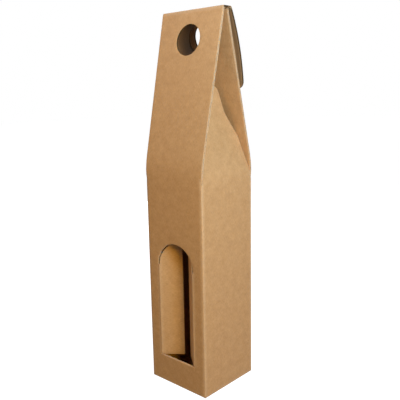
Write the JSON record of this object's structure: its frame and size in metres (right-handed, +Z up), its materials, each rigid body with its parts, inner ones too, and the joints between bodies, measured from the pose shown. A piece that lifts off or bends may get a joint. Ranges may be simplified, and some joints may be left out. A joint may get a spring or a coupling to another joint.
{
  "type": "wine bottle box",
  "caption": "Tall square kraft board carrier box for one bottle, with an arched window with two inward flaps, a gable top with a finger hole, and a closure flap over the ridge.",
  "frame": {"origin": "centre of the base, on the surface that the box stands on", "axes": "+Z up along the box, -Y towards the front with the window, +X to the right as seen from the front"},
  "size_m": [0.0884, 0.085, 0.424],
  "materials": {
    "kraft_board": "matt brown kraft liner on corrugated board"
  },
  "bodies": {
    "carton": {"carton": "kraft_board"},
    "closure_flap": {"closure_flap": "kraft_board"},
    "left_window_flap": {"left_window_flap": "kraft_board"},
    "right_window_flap": {"right_window_flap": "kraft_board"}
  },
  "joints": [
    {"name": "closure_fold", "type": "hinge", "parent": "carton", "child": "closure_flap", "pos_m": [0, 0.005, 0.4215], "axis": [1, 0, 0], "range_deg": [-2.5, 120]},
    {"name": "left_window_fold", "type": "hinge", "parent": "carton", "child": "left_window_flap", "pos_m": [-0.0265, -0.04, 0.088], "axis": [0, 0, 1], "range_deg": [-38.5, 65]},
    {"name": "right_window_fold", "type": "hinge", "parent": "carton", "child": "right_window_flap", "pos_m": [0.0265, -0.04, 0.088], "axis": [0, 0, -1], "range_deg": [-38.5, 65]}
  ]
}
